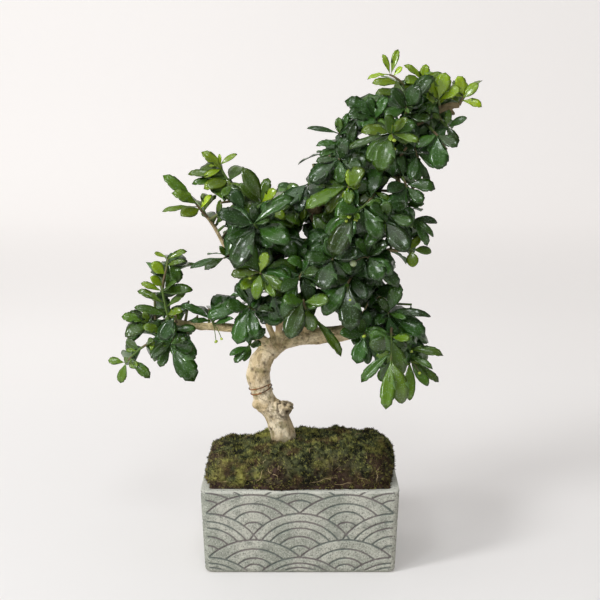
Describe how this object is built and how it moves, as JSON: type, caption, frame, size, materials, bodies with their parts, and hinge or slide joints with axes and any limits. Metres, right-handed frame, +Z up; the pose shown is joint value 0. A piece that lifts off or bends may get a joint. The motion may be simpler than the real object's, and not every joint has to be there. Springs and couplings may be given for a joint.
{
  "type": "fukien tea bonsai in a pot",
  "caption": "S-shaped fukien tea bonsai with toothed leaves, standing in a mossed rectangular pot scored with a wave pattern.",
  "frame": {"origin": "centre of the pot's underside", "axes": "+Z up, +X along the pot's long side to the right seen from the front, -Y to the front"},
  "size_m": [0.2948, 0.1569, 0.4057],
  "materials": {
    "pot": "matt speckled grey-green, cast",
    "soil": "dark moist potting soil",
    "moss": "dark olive moss with brown rooty patches",
    "bark": "pale tan bark with dark lenticels",
    "wire": "thin rusted wire",
    "leaf": "dark green glossy leathery leaves, yellow-green when young"
  },
  "bodies": {
    "root": {"pot": "pot", "soil": "soil", "moss": "moss", "trunk": "bark", "training_wire": "wire", "shoot_left_tip": "leaf", "shoot_left_fork": "leaf", "shoot_left_low": "leaf", "shoot_left_under": "leaf", "shoot_left_spur": "leaf", "shoot_left_blades": "leaf", "shoot_inner_left": "leaf", "shoot_inner_low": "leaf", "shoot_left_high": "leaf", "shoot_left_mid": "leaf", "shoot_left_top": "leaf", "shoot_left_crown": "leaf", "shoot_left_front": "leaf", "shoot_left_face": "leaf", "shoot_centre_left": "leaf", "shoot_centre_low": "leaf", "shoot_centre": "leaf", "shoot_centre_face": "leaf", "shoot_right_face": "leaf", "shoot_crown_mid": "leaf", "shoot_crown_hanging": "leaf", "shoot_crown_left_tip": "leaf", "shoot_crown_left": "leaf", "shoot_crown_front": "leaf", "shoot_crown_left_top": "leaf", "shoot_crown_tip": "leaf", "shoot_crown_high": "leaf", "shoot_crown_high_right": "leaf", "shoot_crown_right": "leaf", "shoot_crown_end": "leaf", "shoot_right_twig": "leaf", "shoot_right_drop": "leaf", "shoot_right_mid": "leaf", "shoot_right_inner": "leaf", "shoot_right_low": "leaf", "shoot_right_out": "leaf", "shoot_right_end": "leaf", "shoot_low_right": "leaf", "shoot_low_right_tip": "leaf", "shoot_low_right_hanging": "leaf", "shoot_low_centre": "leaf", "shoot_far_top": "leaf", "shoot_far_crown": "leaf", "shoot_far_end": "leaf", "shoot_far_right": "leaf", "shoot_far_left": "leaf", "shoot_far_mid": "leaf", "shoot_far_side": "leaf", "shoot_far_centre": "leaf", "shoot_far_inner": "leaf", "shoot_far_low": "leaf", "shoot_far_bottom": "leaf"}
  },
  "joints": []
}
